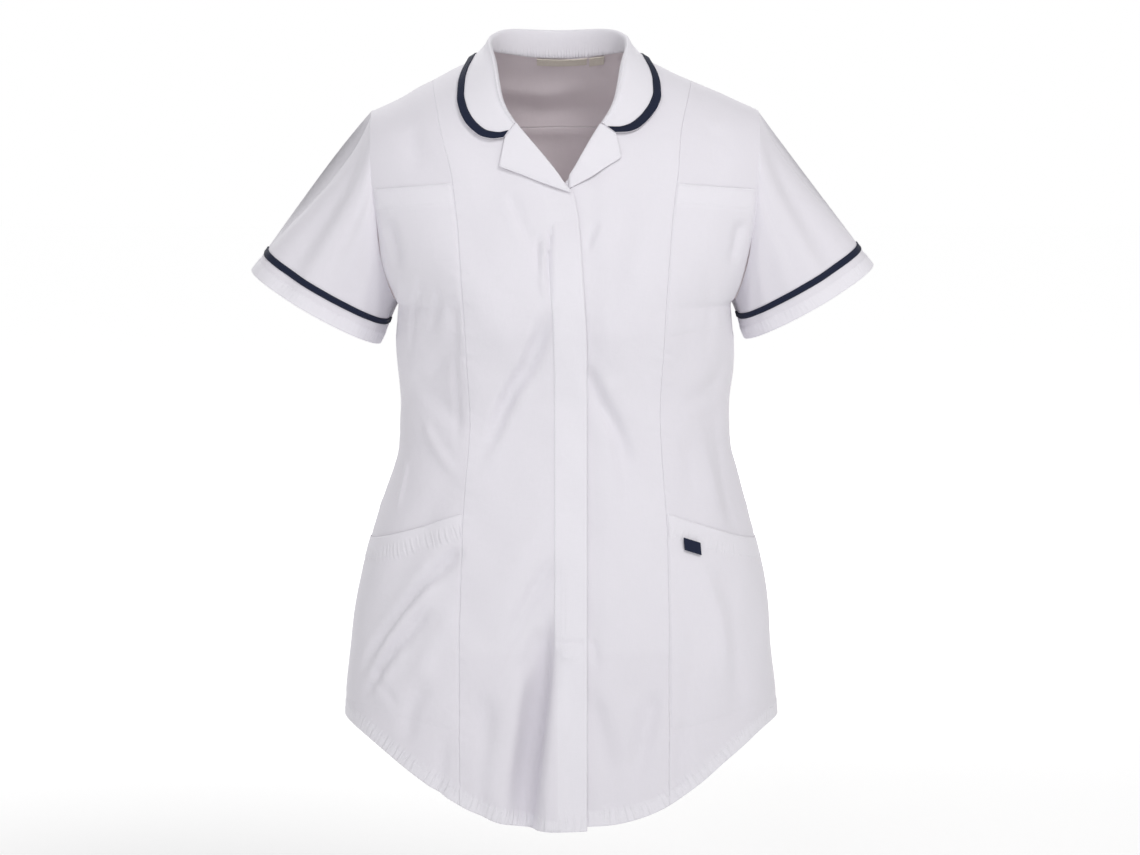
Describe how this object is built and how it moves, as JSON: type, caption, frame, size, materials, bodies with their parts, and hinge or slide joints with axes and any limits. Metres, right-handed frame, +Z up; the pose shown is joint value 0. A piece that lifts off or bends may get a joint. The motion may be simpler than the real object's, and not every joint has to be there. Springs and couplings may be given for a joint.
{
  "type": "nurse uniform tunic dress",
  "caption": "Short-sleeved nurse's tunic dress in white cloth with a rounded collar, navy braid, hidden front closing, slanted hip pockets and a curved hem.",
  "frame": {"origin": "middle of the neck's base, level with the line where the collar meets the shoulders", "axes": "+Z up; the front faces -Y; the wearer's left is +X"},
  "size_m": [0.6184, 0.2978, 0.7745],
  "materials": {
    "white_poplin": "matte",
    "navy_braid": "matte",
    "beige_label": "matte"
  },
  "bodies": {
    "root": {"back": "white_poplin", "back_yoke": "white_poplin", "breast_pocket_left": "white_poplin", "breast_pocket_right": "white_poplin", "collar": "white_poplin", "collar_braid": "navy_braid", "front_centre_left": "white_poplin", "front_centre_right": "white_poplin", "front_side_left": "white_poplin", "front_side_right": "white_poplin", "hip_pocket_left": "white_poplin", "hip_pocket_right": "white_poplin", "lapel_left": "white_poplin", "lapel_right": "white_poplin", "neck_loop": "beige_label", "placket": "white_poplin", "pocket_label": "navy_braid", "size_tab": "beige_label", "sleeve_braid_left": "navy_braid", "sleeve_braid_right": "navy_braid", "sleeve_left": "white_poplin", "sleeve_right": "white_poplin"}
  },
  "joints": []
}
